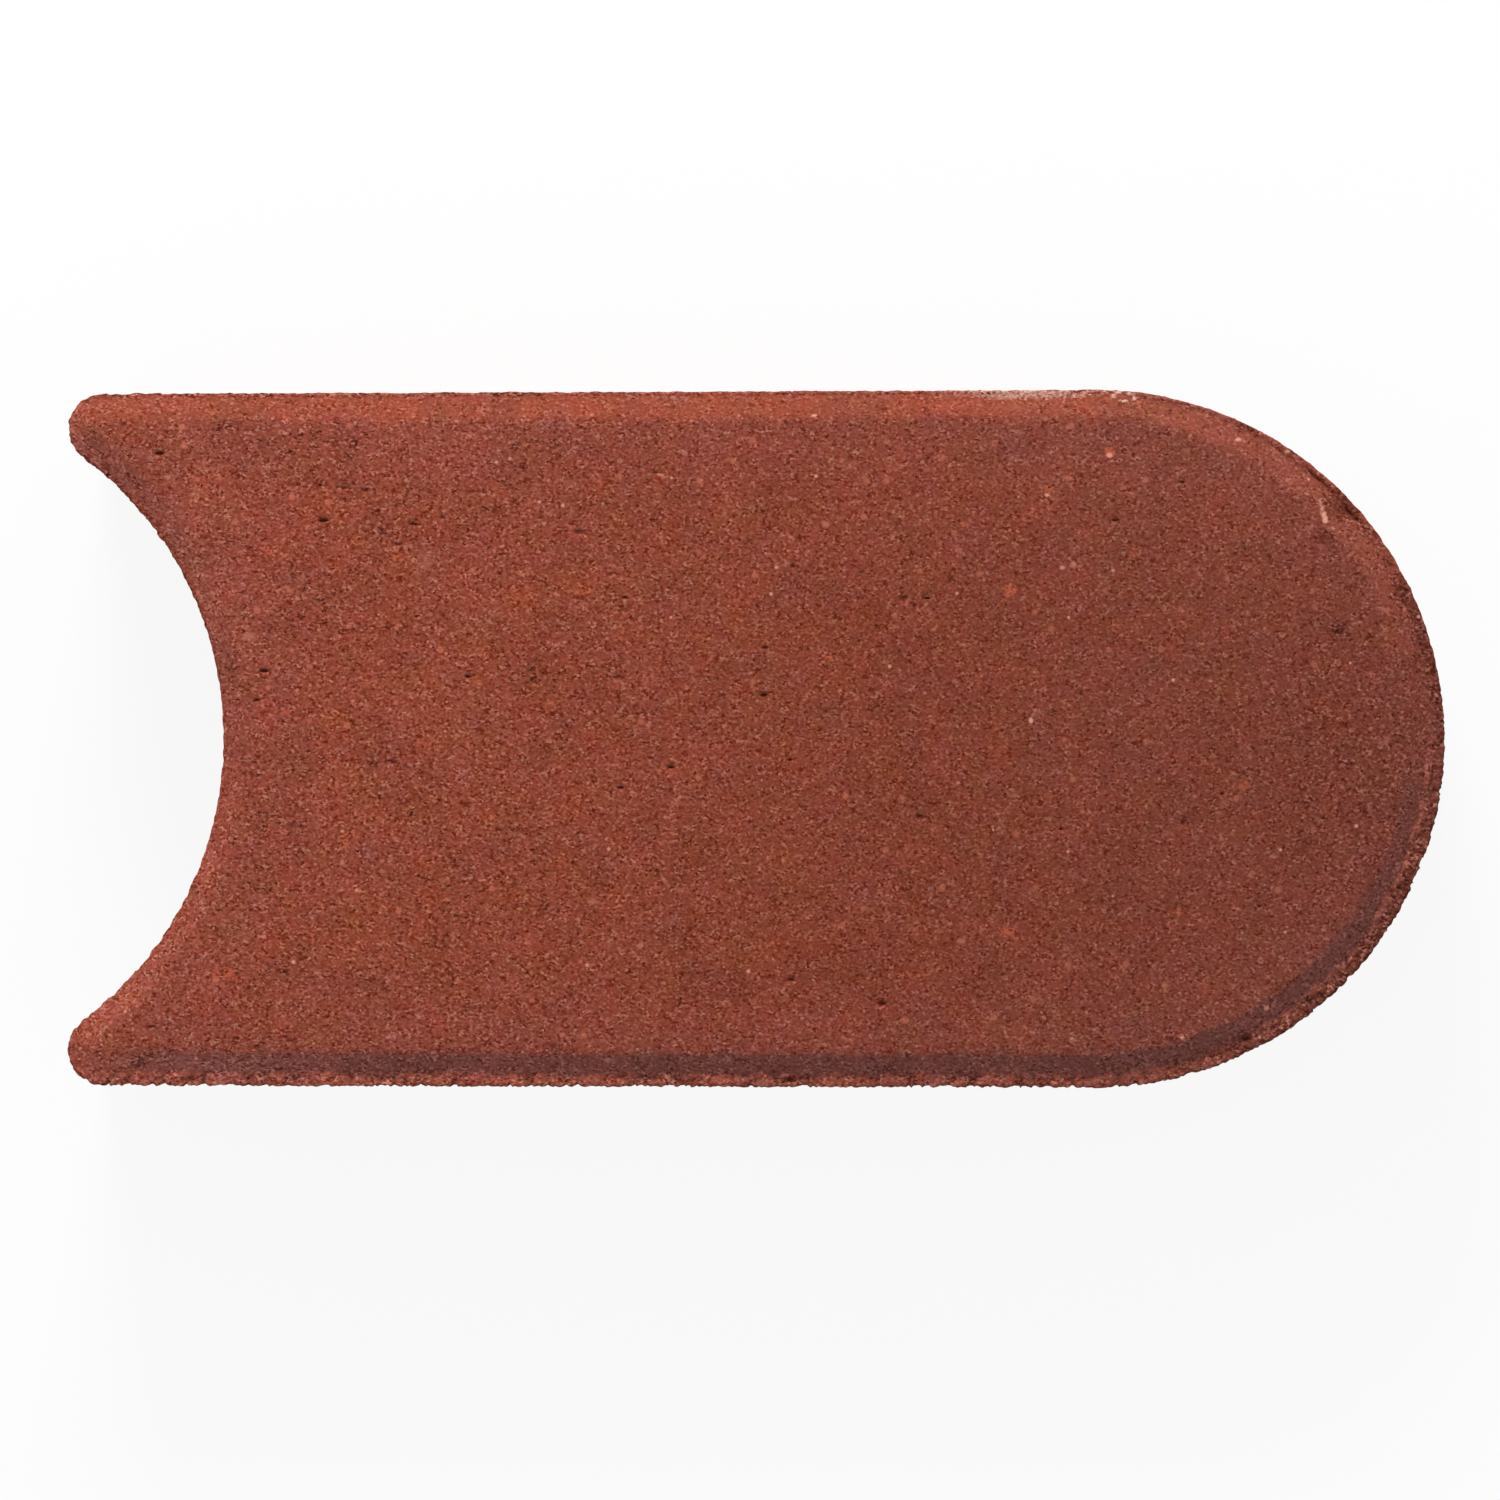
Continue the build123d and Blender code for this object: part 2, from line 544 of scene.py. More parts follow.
class Bench:
    """A node tree being wired up, with a short call for each kind of node that the materials need."""

    def __init__(self, tree):
        self.tree = tree

    def add(self, kind, inputs=None, **settings):
        node = self.tree.nodes.new(kind)
        for name, value in settings.items():
            setattr(node, name, value)
        for name, value in (inputs or {}).items():
            self.feed(node.inputs[name], value)
        return node

    def feed(self, socket, value):
        if isinstance(value, bpy.types.NodeSocket):
            self.tree.links.new(value, socket)
        else:
            socket.default_value = value

    def math(self, operation, first, second=0.0, clamp=False):
        node = self.add("ShaderNodeMath", {0: first, 1: second}, operation=operation, use_clamp=clamp)
        return node.outputs[0]

    def product(self, *factors):
        result = factors[0]
        for factor in factors[1:]:
            result = self.math("MULTIPLY", result, factor)
        return result

    def stretched(self, place, factors):
        return self.add("ShaderNodeVectorMath", {0: place, 1: factors}, operation="MULTIPLY").outputs[0]

    def shifted(self, place, step):
        return self.add("ShaderNodeVectorMath", {0: place, 1: step}, operation="ADD").outputs[0]

    def in_millimetres(self, place):
        return self.add("ShaderNodeVectorMath", {0: place, "Scale": 1 / MM}, operation="SCALE").outputs[0]

    def between(self, value, start, end, low_end=0.0, high_end=1.0):
        """A smooth ramp from low_end to high_end as the value goes from start to end."""
        inputs = {0: value, 1: start, 2: end, 3: low_end, 4: high_end}
        return self.add("ShaderNodeMapRange", inputs, interpolation_type="SMOOTHSTEP").outputs[0]

    def fade(self, share, without, full):
        """A smooth ramp from one number to the other as the share goes from 0 to 1."""
        return self.between(share, 0.0, 1.0, without, full)

    def blend(self, share, first, second, how="MIX"):
        node = self.add("ShaderNodeMix", {0: share, 6: first, 7: second}, data_type="RGBA", blend_type=how)
        return node.outputs[2]

    def grains(self, place, frequency, detail=2.0, roughness=0.6, output=0):
        """Cloudy noise: output 0 is one value, output 1 a colour of three values that vary on their own."""
        inputs = {"Vector": place, "Scale": frequency, "Detail": detail, "Roughness": roughness}
        return self.add("ShaderNodeTexNoise", inputs).outputs[output]

    def ramp(self, value, stops):
        """A colour that runs straight from stop to stop, each given as its value and its colour."""
        node = self.add("ShaderNodeValToRGB", {0: value})
        elements = node.color_ramp.elements
        while len(elements) < len(stops):
            elements.new(0.5)
        for element, (position, colour) in zip(elements, stops):
            element.position = position
            element.color = colour
        return node.outputs[0]

    def placed(self, tree, inputs):
        node = self.tree.nodes.new("ShaderNodeGroup")
        node.node_tree = tree
        for name, value in inputs.items():
            self.feed(node.inputs[name], value)
        return node.outputs


def new_group(name, inputs, outputs):
    """An empty shader group with named sockets: its bench, its inputs by name, and its output node."""
    tree = bpy.data.node_groups.new(name, "ShaderNodeTree")
    for label, kind in inputs.items():
        tree.interface.new_socket(label, in_out="INPUT", socket_type=kind)
    for label, kind in outputs.items():
        tree.interface.new_socket(label, in_out="OUTPUT", socket_type=kind)
    bench = Bench(tree)
    return bench, bench.add("NodeGroupInput").outputs, bench.add("NodeGroupOutput")


FLOAT, VECTOR, COLOUR = "NodeSocketFloat", "NodeSocketVector", "NodeSocketColor"

# What the mesh carries for its materials: the socket's label, and the name of the layer on the mesh
mark_layers = {
    # painted shade in the holes of the rim, the slits and the cracks of the nose
    "Hole": "hole_shade",
    "Speck": "pale_speck",
    "Brick": "brick_grain",
    "Pebble": "pebble",
    "Chalk": "chalk",
    # stains, and painted shade in the gaps between crumbs, on the nose's rim and along the back
    "Damp": "stain_and_shade",
    # painted light and shade on the bevel, and the crumbs' own tone
    "Lift": "painted_light_and_crumb_tone",
    # the back bevel, which faces the lamp, where the grain is drawn fainter as painted light
    "Rubbed": "bevel_light",
    # the grey film: painted shade on the front bevel, a greyer tone on crumbs and the border of the face
    "Film": "shade_and_grey_film",
    "Crumb": "crumb",
}

# Colours of the concrete and of what shows in it
deep_red = (0.131, 0.0148, 0.0031, 1)
middle_red = (0.244, 0.0515, 0.0280, 1)
light_red = (0.440, 0.155, 0.103, 1)
grain_colours = ((0.0, deep_red), (0.43, middle_red), (1.0, light_red))
darkest_tone, lightest_tone = -0.1, 1.3  # the grain tones at the two ends of these colours
tint_drift = (0.62, 0.26, 1.2)
rust_orange = (0.47, 0.092, 0.032, 1)
# Dark brown: painted shade in pores, pits, holes, blow holes and gaps, and the colour of stains
shade_and_stain_brown = (0.055, 0.008, 0.003, 1)
pale_brick = (0.56, 0.155, 0.085, 1)
brick_orange = (0.46, 0.102, 0.050, 1)
pebble_pink = (0.42, 0.130, 0.092, 1)
pale_grit = (0.68, 0.30, 0.225, 1)
chalk_white = (0.66, 0.43, 0.345, 1)


def sand_grain():
    """Fine sand in the cement skin: its tone from dark to light, and its height in millimetres."""
    inputs = {"Place": VECTOR, "Grain Size": FLOAT}
    bench, given, out = new_group("sand_grain", inputs, {"Tone": FLOAT, "Height": FLOAT})
    frequency = bench.math("DIVIDE", 1.0, given["Grain Size"])
    turn = {"Vector": bench.stretched(given["Place"], (0.88, 1.1, 1.0)), "Rotation": (0.5, 0.7, 0.6)}
    askew = bench.add("ShaderNodeVectorRotate", turn, rotation_type="EULER_XYZ").outputs[0]
    paste = bench.grains(askew, frequency, 1.0, 0.5)
    finer = bench.product(frequency, 1.25)
    cells = bench.add("ShaderNodeTexVoronoi", {"Vector": askew, "Scale": finer})
    draw = bench.add("ShaderNodeSeparateColor", {0: cells.outputs["Color"]}).outputs[0]
    swing = bench.math("SUBTRACT", bench.product(draw, 2.0), 1.0)
    standing_out = bench.product(swing, swing, swing)
    tone = bench.math("ADD", bench.product(paste, 0.6), 0.2)
    tone = bench.math("ADD", tone, bench.product(standing_out, 0.2))
    bench.feed(out.inputs["Tone"], tone)
    bench.feed(out.inputs["Height"], bench.product(given["Grain Size"], 0.7, tone))
    return out.id_data


def open_pores():
    """Short ragged pores, drawn out one way: a mask, 1 in the middle of each."""
    inputs = {"Place": VECTOR, "Closeness": VECTOR, "Cluster": FLOAT}
    bench, given, out = new_group("open_pores", inputs, {"Pore": FLOAT})
    ragged = bench.grains(bench.stretched(given["Place"], given["Closeness"]), 1.0, 2.0, 0.6)
    bench.feed(out.inputs["Pore"], bench.between(bench.math("ADD", ragged, given["Cluster"]), 0.64, 0.76))
    return out.id_data


def strewn_spots():
    """Single round spots strewn thinly, as grains, pits or blow holes are: 1 in the middle of each."""
    inputs = {"Place": VECTOR, "Spacing": FLOAT, "Share": FLOAT, "Smallest": FLOAT, "Largest": FLOAT}
    bench, given, out = new_group("strewn_spots", inputs, {"Spot": FLOAT})
    frequency = bench.math("DIVIDE", 1.0, given["Spacing"])
    cells = bench.add("ShaderNodeTexVoronoi", {"Vector": given["Place"], "Scale": frequency})
    draw = bench.add("ShaderNodeSeparateColor", {0: cells.outputs["Color"]}).outputs
    away = bench.product(cells.outputs["Distance"], given["Spacing"])
    reach = bench.between(draw[0], 0.0, 1.0, given["Smallest"], given["Largest"])
    spot = bench.math("SUBTRACT", 1.0, bench.math("DIVIDE", away, reach), clamp=True)
    chosen = bench.math("LESS_THAN", draw[1], given["Share"])
    bench.feed(out.inputs["Spot"], bench.product(bench.between(spot, 0.0, 0.6), chosen))
    return out.id_data


def mould_marks(spots):
    """What mould wall and pallet leave: ragged blow holes, and upright scrapes as deep as the drag says."""
    inputs = {"Place": VECTOR, "Blow Holes": FLOAT, "Drag": FLOAT}
    bench, given, out = new_group("mould_marks", inputs, {"Blow Hole": FLOAT, "Scrape": FLOAT})
    place = bench.in_millimetres(given["Place"])
    ragged = bench.shifted(place, bench.grains(place, 0.8, 2.0, 0.6, output=1))
    blown = {"Place": ragged, "Spacing": 6.0, "Share": given["Blow Holes"], "Smallest": 0.25, "Largest": 1.5}
    bench.feed(out.inputs["Blow Hole"], bench.placed(spots, blown)["Spot"])
    drawn_up = bench.stretched(place, (1.0, 1.0, 0.07))
    streak = bench.math("SUBTRACT", bench.grains(drawn_up, 0.55, 3.0, 0.7), 0.5)
    bench.feed(out.inputs["Scrape"], bench.product(streak, given["Drag"]))
    return out.id_data


def pigment_mottling():
    """Uneven pigment and skin: broad tone, tint, raw oxide and harsh patches; and two ramps, along the stone
    to the nose and across to the back.
    """
    inputs = {"Place": VECTOR, "Patch Size": FLOAT}
    outputs = {"Tone": FLOAT, "Tint": COLOUR, "Rust": FLOAT, "Harsh": FLOAT, "Nose": FLOAT, "Back": FLOAT}
    bench, given, out = new_group("pigment_mottling", inputs, outputs)
    frequency = bench.math("DIVIDE", 1.0, given["Patch Size"])
    bench.feed(out.inputs["Tone"], bench.grains(given["Place"], frequency, 2.0, 0.5))
    drifts = bench.grains(given["Place"], bench.product(frequency, 2.0), 5.0, 0.8, output=1)
    gain = Vector(tint_drift)
    spread = {0: drifts, 1: gain, 2: Vector((1, 1, 1)) - gain / 2}
    tint = bench.add("ShaderNodeVectorMath", spread, operation="MULTIPLY_ADD").outputs[0]
    bench.feed(out.inputs["Tint"], tint)
    redness = bench.add("ShaderNodeSeparateColor", {0: drifts}).outputs[0]
    bench.feed(out.inputs["Rust"], bench.between(redness, 0.59, 0.77))
    bench.feed(out.inputs["Harsh"], bench.between(bench.grains(given["Place"], 0.6, 1.0, 0.5), 0.3, 0.7))
    along = bench.add("ShaderNodeSeparateXYZ", {0: given["Place"]}).outputs
    bench.feed(out.inputs["Nose"], bench.between(along[0], -length / 2, length / 2))
    to_back = bench.between(along[1], 0.2 * half_width, 0.9 * half_width)
    to_nose = bench.between(along[0], -0.25 * length, 0.15 * length)
    bench.feed(out.inputs["Back"], bench.product(to_back, to_nose))
    return out.id_data


def grain_colour(bench, tone, pigment, brick_grain, pit, pore):
    """Red of the sand and paste, with its drifts of tint, raw oxide and brick grains, and with pits and pores
    darkened as painted shade.
    """
    span = lightest_tone - darkest_tone
    colour = bench.ramp(bench.math("DIVIDE", bench.math("SUBTRACT", tone, darkest_tone), span), grain_colours)
    colour = bench.blend(1.0, colour, pigment["Tint"], "MULTIPLY")
    rust = bench.product(pigment["Rust"], bench.between(tone, 0.1, 0.9, 0.1, 0.6))
    colour = bench.blend(rust, colour, rust_orange)
    colour = bench.blend(bench.product(brick_grain, 0.5), colour, pale_brick)
    colour = bench.blend(bench.product(pit, 0.6), colour, shade_and_stain_brown)
    return bench.blend(bench.product(pore, 0.3), colour, shade_and_stain_brown)


def broad_tone(bench, given, pigment, colour):
    """The colour with its broad tone, lighter at the hollow end and darker at the nose, a little lighter
    along the back towards the nose, the painted light and shade of the edge, and the grey film: painted shade
    on the front bevel, a greyer tone on crumbs and the border.
    """
    value = bench.product(
        bench.between(pigment["Tone"], 0.2, 0.8, 0.965, 1.035),
        bench.fade(pigment["Nose"], 1.13, 0.82),
        bench.fade(pigment["Back"], 1.0, 1.08),
        bench.math("ADD", given["Lift"], 1.0),
        bench.fade(given["Crumb"], 1.0, 1.38),
        bench.math("ADD", given["Shade"], given["Scrape"]),
        bench.fade(given["Film"], 1.0, 0.97),
    )
    saturation = bench.product(
        bench.fade(given["Film"], 1.0, 0.86),
        bench.between(pigment["Nose"], 0.55, 1.0, 1.0, 0.97),
        bench.fade(given["Crumb"], 1.0, 0.965),
    )
    hue = bench.math("SUBTRACT", 0.5, bench.product(given["Film"], 0.006))
    tint = {"Hue": hue, "Saturation": saturation, "Value": value, "Color": colour}
    return bench.add("ShaderNodeHueSaturation", tint).outputs[0]


def single_marks(bench, given, tone, grit, colour):
    """The colour with stains and painted shade in gaps, holes and blow holes over it, then pale grit,
    pebbles, brick grains, specks and chalk.
    """
    off_middle = bench.math("SUBTRACT", tone, 0.5)
    # Stains, and painted shade in the gaps between crumbs, on the rim of the nose and along the back edge
    broken_up = bench.product(off_middle, -0.7, bench.between(given["Damp"], 0.0, 0.3))
    stain_and_shade = bench.math("ADD", given["Damp"], broken_up, clamp=True)
    colour = bench.blend(bench.product(stain_and_shade, 0.75), colour, shade_and_stain_brown)
    # Painted shade in the holes of the rim, the slits and the cracks of the nose
    colour = bench.blend(bench.between(given["Hole"], 0.0, 0.5, 0.0, 0.85), colour, shade_and_stain_brown)
    # Painted shade in the blow holes
    colour = bench.blend(bench.product(given["Blow Hole"], 0.75), colour, shade_and_stain_brown)
    colour = bench.blend(bench.product(grit, 0.8), colour, pale_grit)
    colour = bench.blend(bench.between(given["Pebble"], 0.02, 0.9, 0.0, 0.9), colour, pebble_pink)
    ragged = bench.product(off_middle, bench.between(given["Brick"], 0.0, 0.2))
    brick = bench.math("ADD", given["Brick"], ragged)
    colour = bench.blend(bench.between(brick, 0.05, 0.9, 0.0, 0.9), colour, brick_orange)
    colour = bench.blend(bench.between(given["Speck"], 0.05, 0.8, 0.0, 0.95), colour, pale_grit)
    chalk = bench.math("ADD", given["Chalk"], bench.product(off_middle, 0.4))
    chalk = bench.product(bench.between(chalk, 0.1, 0.8), bench.between(given["Chalk"], 0.0, 0.2), 0.85)
    return bench.blend(chalk, colour, chalk_white)


def red_concrete(spots):
    """Pressed red concrete: colour, height in millimetres and roughness, at a place in metres."""
    inputs = {"Place": VECTOR, "Pore Closeness": VECTOR}
    values = ["Grain Size", "Pores", "Contrast", "Shade", "Blow Hole", "Scrape", *mark_layers]
    inputs.update({label: FLOAT for label in values})
    outputs = {"Color": COLOUR, "Height": FLOAT, "Roughness": FLOAT}
    bench, given, out = new_group("red_concrete", inputs, outputs)
    place = bench.in_millimetres(given["Place"])
    grain = bench.placed(sand_grain(), {"Place": place, "Grain Size": given["Grain Size"]})
    pigment = bench.placed(pigment_mottling(), {"Place": place, "Patch Size": 15.0})

    # Spots of other grain and small pits, each kind strewn at its own spacing
    elsewhere = bench.shifted(place, (31.0, 17.0, 5.0))
    strewn = {"Place": place, "Spacing": 4.0, "Share": 0.28, "Smallest": 0.15, "Largest": 0.45}
    grit = bench.placed(spots, strewn)["Spot"]
    strewn = {"Place": elsewhere, "Spacing": 3.2, "Share": 0.4, "Smallest": 0.25, "Largest": 0.85}
    brick_grain = bench.placed(spots, strewn)["Spot"]
    strewn = {"Place": elsewhere, "Spacing": 2.2, "Share": 0.75, "Smallest": 0.15, "Largest": 0.55}
    pit = bench.placed(spots, strewn)["Spot"]

    # Pores gather in the dark patches and towards the hollow
    cluster = bench.product(bench.math("SUBTRACT", pigment["Tone"], 0.5), -0.25)
    cluster = bench.math("ADD", cluster, bench.fade(pigment["Nose"], 0.05, -0.02))
    gathered = {"Place": place, "Closeness": given["Pore Closeness"], "Cluster": cluster}
    pores = bench.placed(open_pores(), gathered)

    # Grain and pores in busy and quiet patches, and fainter on the back bevel, which faces the lamp: painted
    # light
    strength = bench.product(
        given["Contrast"],
        bench.fade(given["Rubbed"], 1.0, 0.75),
        bench.fade(pigment["Nose"], 1.10, 0.96),
        bench.fade(pigment["Harsh"], 0.55, 1.5),
    )
    tone = bench.math("ADD", bench.product(bench.math("SUBTRACT", grain["Tone"], 0.5), strength), 0.5)
    pore = bench.product(given["Pores"], strength, pores["Pore"])

    colour = grain_colour(bench, tone, pigment, brick_grain, pit, pore)
    colour = broad_tone(bench, given, pigment, colour)
    bench.feed(out.inputs["Color"], single_marks(bench, given, tone, grit, colour))
    height = bench.math("SUBTRACT", grain["Height"], bench.product(pore, 0.10))
    height = bench.math("SUBTRACT", height, bench.product(pit, 0.12))
    height = bench.math("SUBTRACT", height, bench.product(given["Blow Hole"], 0.9))
    height = bench.math("ADD", height, bench.product(given["Scrape"], 0.6))
    bench.feed(out.inputs["Height"], height)
    bench.feed(out.inputs["Roughness"], bench.fade(tone, 0.95, 0.78))
    return out.id_data


# How the press head, the gap beside it, the mould wall and the pallet left the same concrete. Pores are
# drawn out along the axis on which they lie least close
lying = (1.05, 1.9, 1.5)
upright = (1.7, 1.7, 0.6)
finishes = {
    "pressed_face": {
        "Grain Size": 0.49, "Pores": 0.8, "Pore Closeness": lying, "Contrast": 2.5, "Shade": 1.0,
    },
    "crumbly_rim": {
        "Grain Size": 0.55, "Pores": 1.0, "Pore Closeness": lying, "Contrast": 3.0, "Shade": 1.0,
    },
    "mould_wall": {
        "Grain Size": 0.70, "Pores": 1.6, "Pore Closeness": upright, "Contrast": 2.4, "Shade": 1.05,
    },
    "bed_face": {
        "Grain Size": 0.85, "Pores": 1.2, "Pore Closeness": lying, "Contrast": 2.2, "Shade": 1.05,
    },
}
mould_traces = {
    "mould_wall": {"Blow Holes": 0.50, "Drag": 0.8},
    "bed_face": {"Blow Holes": 0.40, "Drag": 0.0},
}
relief = {"pressed_face": 0.35, "crumbly_rim": 0.6, "mould_wall": 0.6, "bed_face": 0.6}
dry_sheen = 0.08


def concrete_material(name, concrete, mould):
    """One finish of the concrete, with the marks on the mesh and, where there are any, the mould's traces."""
    material = bpy.data.materials.new(name)
    material.use_nodes = True
    material.node_tree.nodes.clear()
    bench = Bench(material.node_tree)
    marks = {
        label: bench.add("ShaderNodeAttribute", attribute_name=attribute).outputs["Fac"]
        for label, attribute in mark_layers.items()
    }
    place = bench.add("ShaderNodeTexCoord").outputs["Object"]
    if name in mould_traces:
        traces = bench.placed(mould, {"Place": place, **mould_traces[name]})
        marks.update({"Blow Hole": traces["Blow Hole"], "Scrape": traces["Scrape"]})
    skin = bench.placed(concrete, {"Place": place, **finishes[name], **marks})
    bump = bench.add("ShaderNodeBump", {"Strength": relief[name], "Distance": MM, "Height": skin["Height"]})
    surface = bench.add("ShaderNodeBsdfPrincipled", {
        "Base Color": skin["Color"],
        "Roughness": skin["Roughness"],
        "Specular IOR Level": dry_sheen,
        "Normal": bump.outputs[0],
    })
    bench.add("ShaderNodeOutputMaterial", {"Surface": surface.outputs[0]})
    return material


class EdgeZones:
    """Where each vertex lies on the pressed edge. Lengths are in millimetres, the rest are shares of 1."""

    def __init__(self, verts):
        self.plan = verts[:, :2]
        self.x, self.y = self.plan.T
        self.inside = edge_distance(self.plan)
        self.depth = press_depth(self.plan)
        wavy = self.depth + 0.5 * rough(verts, 4.0, 7.7)
        over_arris = smooth_step(bevel_width - 0.9, bevel_width + 0.7, wavy)
        self.bevel = smooth_step(-0.2, 0.6, wavy) * (1 - over_arris)

        # Which way the edge faces: 1 to the back, -1 to the front, and the ends between them
        step = 0.2
        self.facing = (self.depth - press_depth(self.plan + (0, step))) / step
        self.backward = smooth_step(0.8, 0.95, self.facing)
        self.frontward = smooth_step(0.8, 0.95, -self.facing)
        self.sideways = smooth_step(0.95, 0.75, np.abs(self.facing))
        self.border = smooth_step(24, 8, self.inside) * (1 - self.bevel * self.backward)
        horn_end = smooth_step(-102, -112, self.x) * smooth_step(0.1, 0.5, -self.facing)
        self.front_horn = horn_end * (self.y < 0)

        # Crumbs, where they stand higher than the pressed top
        rim, pressed = top_layers(self.plan)
        self.loose = looseness(self.inside - self.depth, self.y)
        self.crumb = self.loose * smooth_step(0.0, 0.15, rim - pressed)
        self.dome, self.crumb_tone = crumb_dome(self.plan)


def edge_light_and_crumb_tone(zones):
    """How much lighter than the face each place is made: the bevel lighter or darker by which way it faces,
    as painted light and shade; the border of the face a little lighter in places; and each crumb by its own
    tone, darker at the nose as painted shade.
    """
    x, facing, bevel = zones.x, zones.facing, zones.bevel
    nose = 0.16 + 0.08 * smooth_step(0.3, -0.1, facing) * smooth_step(-0.8, -0.4, facing)
    nose = nose - 0.06 * smooth_step(0.4, 0.7, facing)
    hollow = 0.04 + 0.28 * smooth_step(0.1, 0.6, -facing) + 0.08 * smooth_step(0.1, 0.4, facing)
    front = 0.01 + 0.30 * smooth_step(-70, -88, x) + 0.08 * smooth_step(0, 50, x)
    back = 0.10 * smooth_step(10, 55, x) - 0.09 * smooth_step(0, -50, x)
    # Painted light and shade on the bevel, by which way it faces
    bevel_light = zones.sideways * np.where(x > 0, nose, hollow) + zones.frontward * front + zones.backward * back
    bevel_light = bevel_light + 0.30 * zones.front_horn
    hollow_foot = smooth_step(-50, -80, x) * zones.sideways * smooth_step(0.05, 0.3, facing)
    border = 0.05 * zones.border * np.maximum(smooth_step(0, 30, x), hollow_foot)
    crumb = zones.crumb_tone - 0.14 * smooth_step(70, 100, x)
    return bevel * bevel_light + (1 - bevel) * border + zones.crumb * crumb


def shade_and_grey_film(zones):
    """How thick the grey film is: full on the front bevel, where it is painted shade on the side turned from
    the lamp, and thin on crumbs and on the border of the face.
    """
    at_nose = zones.x > 0
    film = zones.bevel * smooth_step(-0.25, 0.85, -zones.facing)
    film = film * np.where(at_nose, 1, 1 - 0.65 * zones.sideways) * (1 - 0.7 * zones.front_horn)
    film = np.maximum(film * (1 - zones.crumb), 0.3 * zones.crumb)
    on_border = 0.27 - 0.12 * at_nose * zones.sideways * smooth_step(0, 0.4, zones.facing)
    return film + zones.border * on_border * (1 - film) * (1 - zones.crumb)


def painted_gap_shade(zones, verts):
    """Painted shade: in the gaps between the crumbs, on the rim of the nose, and in a broken dark line along
    the back edge.
    """
    x, y, depth = zones.x, zones.y, zones.depth
    crumb_gap = zones.loose * smooth_step(0.3, 0.0, depth) * smooth_step(0.3, 0.0, zones.dome)
    nose_rim = smooth_step(0.2, -0.3, depth) * smooth_step(60, 105, x) * smooth_step(32, 12, y)
    broken = smooth_step(-0.15, 0.1, rough(verts * (1, 1, 0), 3.0, 2.6))
    back_line = zones.backward * smooth_step(0.5, 0.2, zones.inside) * smooth_step(15, -40, x) * broken
    return np.maximum(np.maximum(0.65 * crumb_gap, 0.6 * nose_rim), 0.75 * back_line)


def give_marks(mesh, verts):
    """Lay the single marks, the painted light and shade of the edge, and the crumbs' tones on the top of the
    mesh, for its materials to read.
    """
    zones = EdgeZones(verts)
    plan = zones.plan
    holes = np.maximum(closeness(plan, slits), closeness(plan, rim_holes))
    layers = {
        # painted shade in the holes of the rim, the slits and the cracks of the nose
        "hole_shade": np.maximum(holes, 0.4 * nose_cracks(plan)),
        "pale_speck": closeness(plan, pale_specks),
        "brick_grain": closeness(plan, brick_grains),
        "pebble": closeness(plan, pebbles),
        "chalk": closeness(plan, chalk_smears),
        "stain_and_shade": np.maximum(closeness(plan, dark_stains_and_shade), painted_gap_shade(zones, verts)),
        "painted_light_and_crumb_tone": edge_light_and_crumb_tone(zones),
        # the back bevel, which faces the lamp, where the grain is drawn fainter as painted light
        "bevel_light": zones.bevel * zones.backward,
        "shade_and_grey_film": shade_and_grey_film(zones),
        "crumb": zones.crumb,
    }
    on_top = verts[:, 2] > rim_height - 1.5
    for name, values in layers.items():
        layer = mesh.attributes.new(name, "FLOAT", "POINT")
        layer.data.foreach_set("value", np.where(on_top, values, 0))


def make_stone():
    """The whole stone as one closed mesh, which stands for the CAD node."""
    verts, faces, finish = stone_shape()
    mesh = bpy.data.meshes.new("pressed_stone")
    mesh.from_pydata((verts * MM).tolist(), [], faces)
    mesh.polygons.foreach_set("material_index", finish)
    mesh.polygons.foreach_set("use_smooth", [True] * len(mesh.polygons))
    mesh.set_sharp_from_angle(angle=sharp_angle)
    give_marks(mesh, verts)
    spots = strewn_spots()
    concrete = red_concrete(spots)
    mould = mould_marks(spots)
    for name in finishes:
        mesh.materials.append(concrete_material(name, concrete, mould))
    mesh.update()
    stone = bpy.data.objects.new("pressed_stone", mesh)
    bpy.context.scene.collection.objects.link(stone)
    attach(stone, "root")
    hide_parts("edging_stone")


def seen_directly(bench):
    """1 for the rays that show a surface itself or its mirror image, 0 for those that only light it."""
    rays = bench.add("ShaderNodeLightPath").outputs
    seen = bench.math("MAXIMUM", rays["Is Camera Ray"], rays["Is Glossy Ray"])
    return bench.math("MAXIMUM", seen, rays["Is Transmission Ray"])


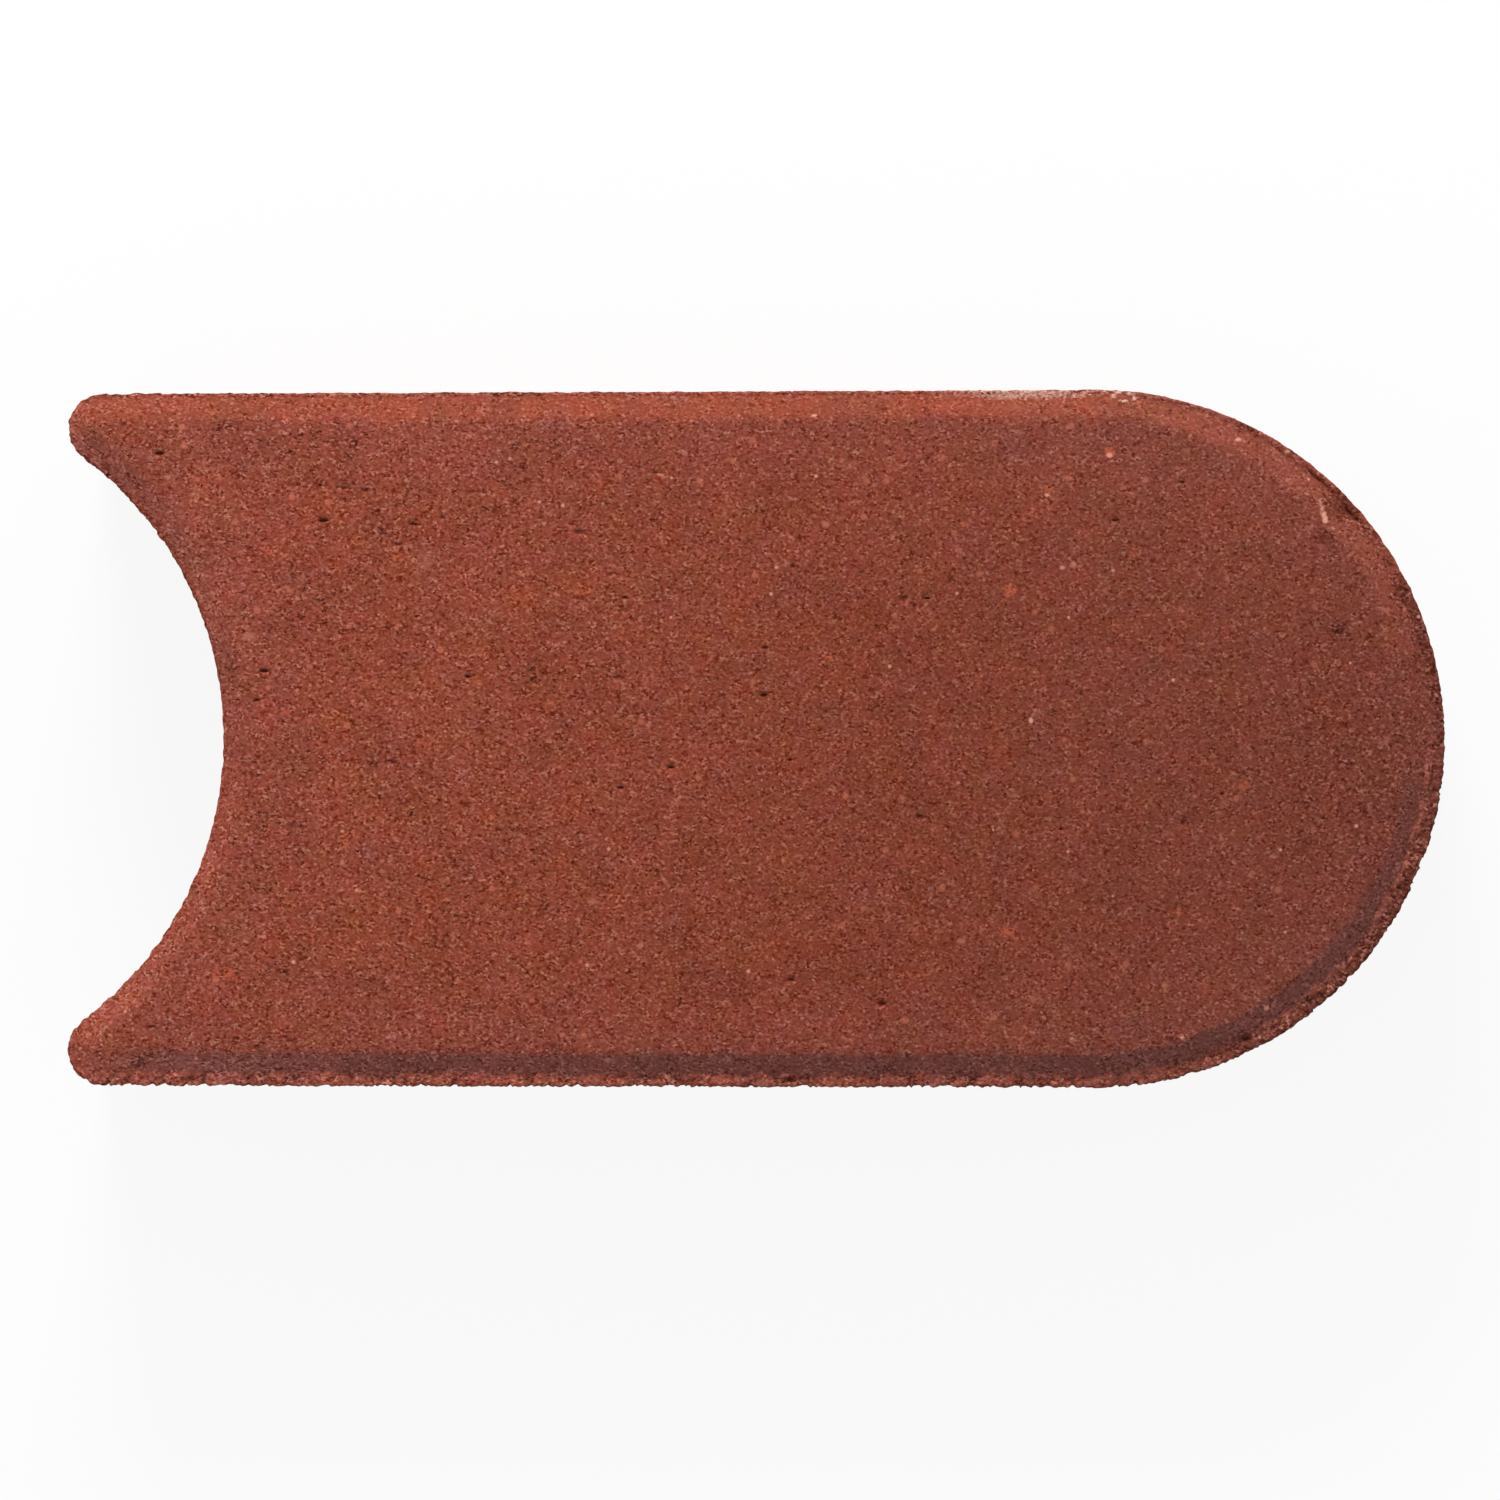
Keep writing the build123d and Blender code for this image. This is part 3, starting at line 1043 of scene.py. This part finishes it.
def make_floor():
    """A wide pale floor, open under the stone, that shows nearly white and keeps the stone's soft shadow."""
    count = len(outline)
    under_stone = outline - normals * floor_tuck
    far_off = outline / np.linalg.norm(outline, axis=1)[:, None] * floor_reach
    rings = np.vstack([under_stone, far_off]) * MM
    mesh = bpy.data.meshes.new("floor")
    mesh.from_pydata(np.c_[rings, np.zeros(2 * count)].tolist(), [], list(strip(count, 0, count)))
    material = bpy.data.materials.new("pale_floor")
    material.use_nodes = True
    material.node_tree.nodes.clear()
    bench = Bench(material.node_tree)
    matte = bench.add("ShaderNodeBsdfDiffuse", {"Color": (0.9, 0.9, 0.9, 1)}).outputs[0]
    white = bench.add("ShaderNodeEmission", {"Color": (1, 1, 1, 1), "Strength": 1.0}).outputs[0]
    share = bench.product(seen_directly(bench), 0.9)
    mixed = bench.add("ShaderNodeMixShader", {0: share, 1: matte, 2: white}).outputs[0]
    bench.add("ShaderNodeOutputMaterial", {"Surface": mixed})
    mesh.materials.append(material)
    floor = bpy.data.objects.new("floor", mesh)
    bpy.context.scene.collection.objects.link(floor)


def soft_light(name, place, size, power):
    """A soft box that looks at the stone."""
    light = bpy.data.lights.new(name, "AREA")
    light.shape = "RECTANGLE"
    light.size, light.size_y = size
    light.energy = power
    lamp = bpy.data.objects.new(name, light)
    lamp.location = place
    to_stone = Vector((0, 0, thickness * MM)) - Vector(place)
    lamp.rotation_euler = to_stone.to_track_quat("-Z", "Y").to_euler()
    lamp.visible_camera = False
    bpy.context.scene.collection.objects.link(lamp)


def light_studio():
    """An even room that shows white to the camera, with one soft box behind the stone's +Y side."""
    world = bpy.data.worlds.new("studio")
    world.use_nodes = True
    world.node_tree.nodes.clear()
    bench = Bench(world.node_tree)
    strength = bench.fade(seen_directly(bench), 0.54, 1.0)
    room = bench.add("ShaderNodeBackground", {"Color": (1, 1, 1, 1), "Strength": strength})
    bench.add("ShaderNodeOutputWorld", {"Surface": room.outputs[0]})
    bpy.context.scene.world = world
    soft_light("back_box", place=(-0.10, 0.95, 0.54), size=(0.4, 0.3), power=11.5)


def place_camera():
    """A camera straight above, a little towards the nose, that takes in the whole stone."""
    distance = 1.3
    lean_to_nose = radians(3.9)
    lean_to_front = radians(0.8)
    aim = Vector((-0.3, -2.0, rim_height)) * MM
    photo_pixels = 1500
    pixels_per_mm = 5.80
    frame_width = photo_pixels / pixels_per_mm * MM
    back = Vector((sin(lean_to_nose) * cos(lean_to_front), -sin(lean_to_front), cos(lean_to_nose)))
    right = Vector((0, 1, 0)).cross(back).normalized()
    up = back.cross(right)
    data = bpy.data.cameras.new("camera")
    data.sensor_width = 36
    data.lens = data.sensor_width * distance / frame_width
    camera = bpy.data.objects.new("camera", data)
    turn = Matrix((right, up, back)).transposed().to_4x4()
    camera.matrix_world = Matrix.Translation(aim + distance * back) @ turn
    bpy.context.scene.collection.objects.link(camera)
    bpy.context.scene.camera = camera


make_stone()
make_floor()
light_studio()
place_camera()
bpy.context.scene.view_settings.view_transform = "Standard"
